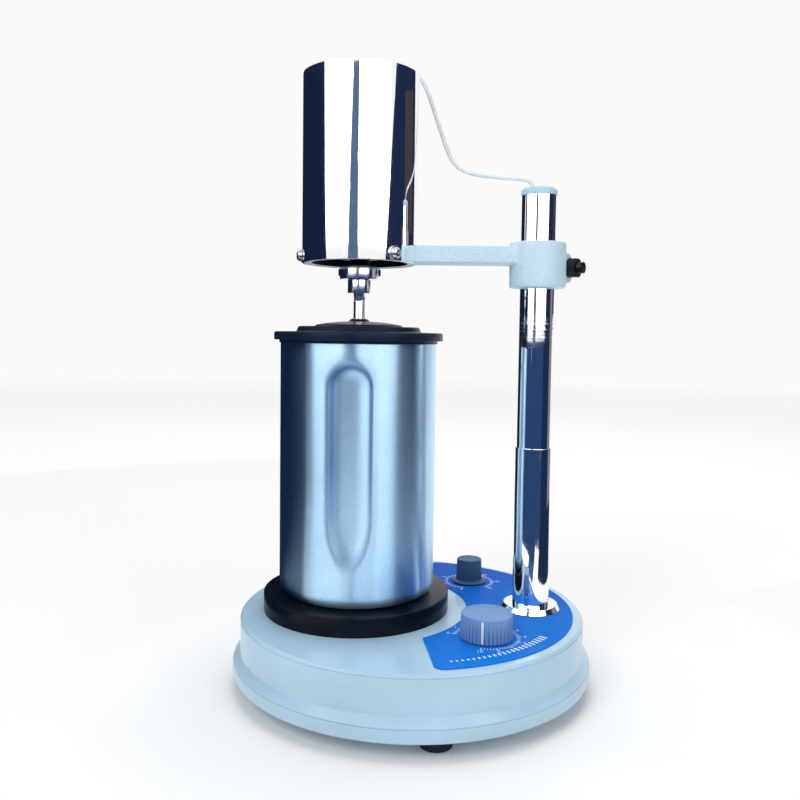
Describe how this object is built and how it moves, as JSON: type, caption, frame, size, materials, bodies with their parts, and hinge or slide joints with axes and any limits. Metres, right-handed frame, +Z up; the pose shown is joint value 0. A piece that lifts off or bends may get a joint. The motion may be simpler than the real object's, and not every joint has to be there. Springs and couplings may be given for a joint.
{
  "type": "tissue homogenizer",
  "caption": "Bench tissue homogenizer: a steel cup with a bladed lid stands on a round base under a chromed motor on a post-mounted swinging arm.",
  "frame": {"origin": "centre of the round base on the bench, under its feet", "axes": "+Z up along the spindle, +X from the cup's axis to the post, -Y the front"},
  "size_m": [0.25, 0.25, 0.4378],
  "materials": {
    "base_paint": "gloss",
    "panel_blue": "satin",
    "arm_paint": "rough cast",
    "bright_chrome": "polished",
    "cup_steel": "satin",
    "machined_steel": "machined",
    "black_bolts": "black oxide",
    "black_plastic": "gloss",
    "dark_plastic": "matt",
    "knob_blue_grey": "satin",
    "knob_dark_grey": "satin",
    "bush_bronze": "machined",
    "bracket_alloy": "cast",
    "copper_winding": "enamelled wire",
    "carbon": "matt",
    "fan_plastic": "matt",
    "board_green": "satin",
    "white_plastic": "satin",
    "foot_rubber": "matt"
  },
  "bodies": {
    "base": {"base_shell": "base_paint", "board_screws": "machined_steel", "board_standoffs": "machined_steel", "bottom_tray": "base_paint", "case_screws": "machined_steel", "control_board": "board_green", "control_nuts": "machined_steel", "control_panel": "panel_blue", "cup_seat": "black_plastic", "film_capacitor": "dark_plastic", "foot_nuts": "machined_steel", "foot_screws": "machined_steel", "fuse_holder": "dark_plastic", "gland_nut": "dark_plastic", "heat_sink": "bracket_alloy", "line_transformer": "copper_winding", "mains_gland": "dark_plastic", "post": "bright_chrome", "post_foot_nut": "bright_chrome", "post_lock_nut": "machined_steel", "post_sleeve": "bright_chrome", "rubber_feet": "foot_rubber", "speed_control": "dark_plastic", "terminal_block": "dark_plastic", "timer_control": "dark_plastic"},
    "speed_dial": {"speed_knob": "knob_blue_grey", "speed_shaft": "machined_steel"},
    "timer_dial": {"timer_knob": "knob_dark_grey", "timer_shaft": "machined_steel"},
    "swing_cap": {"post_cap": "white_plastic", "motor_lead": "white_plastic"},
    "arm": {"motor_arm": "arm_paint", "clamp_bolt": "black_bolts", "clamp_washers": "machined_steel", "clamp_nut": "black_bolts", "motor_cover": "bright_chrome", "cover_screws": "machined_steel", "lead_grommet": "white_plastic", "motor_lower_bracket": "bracket_alloy", "motor_upper_bracket": "bracket_alloy", "motor_bearings": "machined_steel", "stator_core": "machined_steel", "field_coils": "copper_winding", "tie_rods": "machined_steel", "brush_holders": "dark_plastic", "carbon_brushes": "carbon"},
    "rotor": {"motor_shaft": "machined_steel", "armature_core": "machined_steel", "armature_windings": "copper_winding", "commutator": "bush_bronze", "cooling_fan": "fan_plastic", "drive_collar": "bright_chrome", "collar_screws": "machined_steel", "end_collar": "bright_chrome"},
    "cup": {"mixing_cup": "cup_steel"},
    "lid": {"cup_lid": "black_plastic", "lid_bush": "bush_bronze"},
    "cutter": {"blade_shaft": "machined_steel", "cutting_blades": "machined_steel", "blade_nut": "machined_steel"}
  },
  "joints": [
    {"name": "arm_swing", "type": "hinge", "parent": "base", "child": "swing_cap", "pos_m": [0.0845, 0, 0.3394], "axis": [0, 0, 1], "range_deg": [-110, 0]},
    {"name": "arm_lift", "type": "slide", "parent": "swing_cap", "child": "arm", "axis": [0, 0, 1], "range_m": [0, 0.0325], "deforming": ["motor_lead"]},
    {"name": "spindle_spin", "type": "hinge", "parent": "arm", "child": "rotor", "pos_m": [-0.0395, 0, 0.3], "axis": [0, 0, 1], "continuous": true},
    {"name": "cup_slide_out", "type": "slide", "parent": "base", "child": "cup", "axis": [0, -1, 0], "range_m": [0, 0.12]},
    {"name": "lid_lift", "type": "slide", "parent": "cup", "child": "lid", "axis": [0, 0, 1], "range_m": [0, 0.017]},
    {"name": "blade_spin", "type": "hinge", "parent": "cup", "child": "cutter", "pos_m": [-0.0395, 0, 0.15], "axis": [0, 0, 1], "continuous": true},
    {"name": "speed_knob_turn", "type": "hinge", "parent": "base", "child": "speed_dial", "pos_m": [0.0489, -0.0595, 0.05], "axis": [0, 0, -1], "range_deg": [-270, 0]},
    {"name": "timer_knob_turn", "type": "hinge", "parent": "base", "child": "timer_dial", "pos_m": [0.0444, 0.0595, 0.05], "axis": [0, 0, -1], "range_deg": [0, 300]}
  ],
  "couplings": [
    {"joint": "blade_spin", "follows": "spindle_spin", "ratio": 1}
  ]
}
